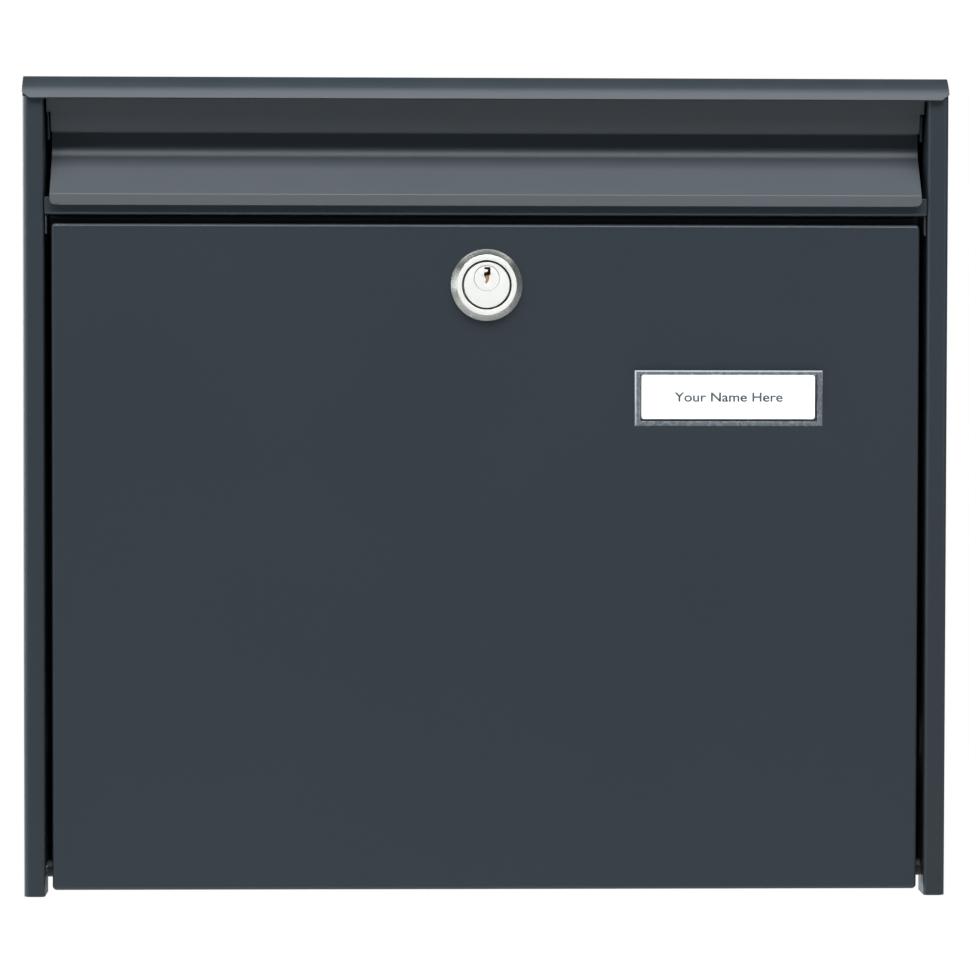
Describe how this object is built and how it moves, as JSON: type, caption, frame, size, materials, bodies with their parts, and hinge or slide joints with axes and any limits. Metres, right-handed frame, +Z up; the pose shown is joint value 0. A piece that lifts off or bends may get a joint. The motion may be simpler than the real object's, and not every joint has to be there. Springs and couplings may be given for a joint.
{
  "type": "wall mounted mailbox",
  "caption": "Wall mounted sheet-steel mailbox with an overhanging roof, a top-hinged letter flap, a drop-down door with cam lock, and a nameplate.",
  "frame": {"origin": "centre of the housing's flat back face, in the plane of the wall", "axes": "+Z up, -Y out from the wall towards a person at the door, +X to the right seen from the front"},
  "size_m": [0.362, 0.1, 0.322],
  "materials": {
    "powder_coat": "smooth semi-gloss anthracite grey powder coat",
    "zinc_steel": "bright zinc plate",
    "satin_nickel": "turned satin nickel",
    "lock_metal": "nickel-plated brass",
    "nylon": "black nylon",
    "card": "white card",
    "clear_plastic": "clear moulded plastic"
  },
  "bodies": {
    "housing": {"back_panel": "powder_coat", "left_side_wall": "powder_coat", "right_side_wall": "powder_coat", "roof_panel": "powder_coat", "floor_panel": "powder_coat", "slot_crossbar": "powder_coat", "flap_pivot_left": "zinc_steel", "flap_pivot_right": "zinc_steel", "door_pivot_left": "zinc_steel", "door_pivot_right": "zinc_steel", "door_spacer_left": "nylon", "door_spacer_right": "nylon"},
    "flap": {"letter_flap": "powder_coat"},
    "door": {"door_panel": "powder_coat", "lock_rosette": "satin_nickel", "lock_housing": "lock_metal", "lock_retaining_clip": "zinc_steel", "nameplate_base": "clear_plastic", "name_card": "card", "nameplate_cover": "clear_plastic"},
    "lock_barrel": {"lock_plug": "lock_metal", "lock_cam": "zinc_steel", "lock_cam_screw": "zinc_steel"}
  },
  "joints": [
    {"name": "flap_swing", "type": "hinge", "parent": "housing", "child": "flap", "pos_m": [0, -0.09, 0.1525], "axis": [-1, 0, 0], "range_deg": [0, 60]},
    {"name": "door_drop", "type": "hinge", "parent": "housing", "child": "door", "pos_m": [0, -0.087, -0.151], "axis": [1, 0, 0], "range_deg": [0, 90]},
    {"name": "lock_turn", "type": "hinge", "parent": "door", "child": "lock_barrel", "pos_m": [0, -0.09, 0.0815], "axis": [0, 1, 0], "range_deg": [0, 90]}
  ]
}
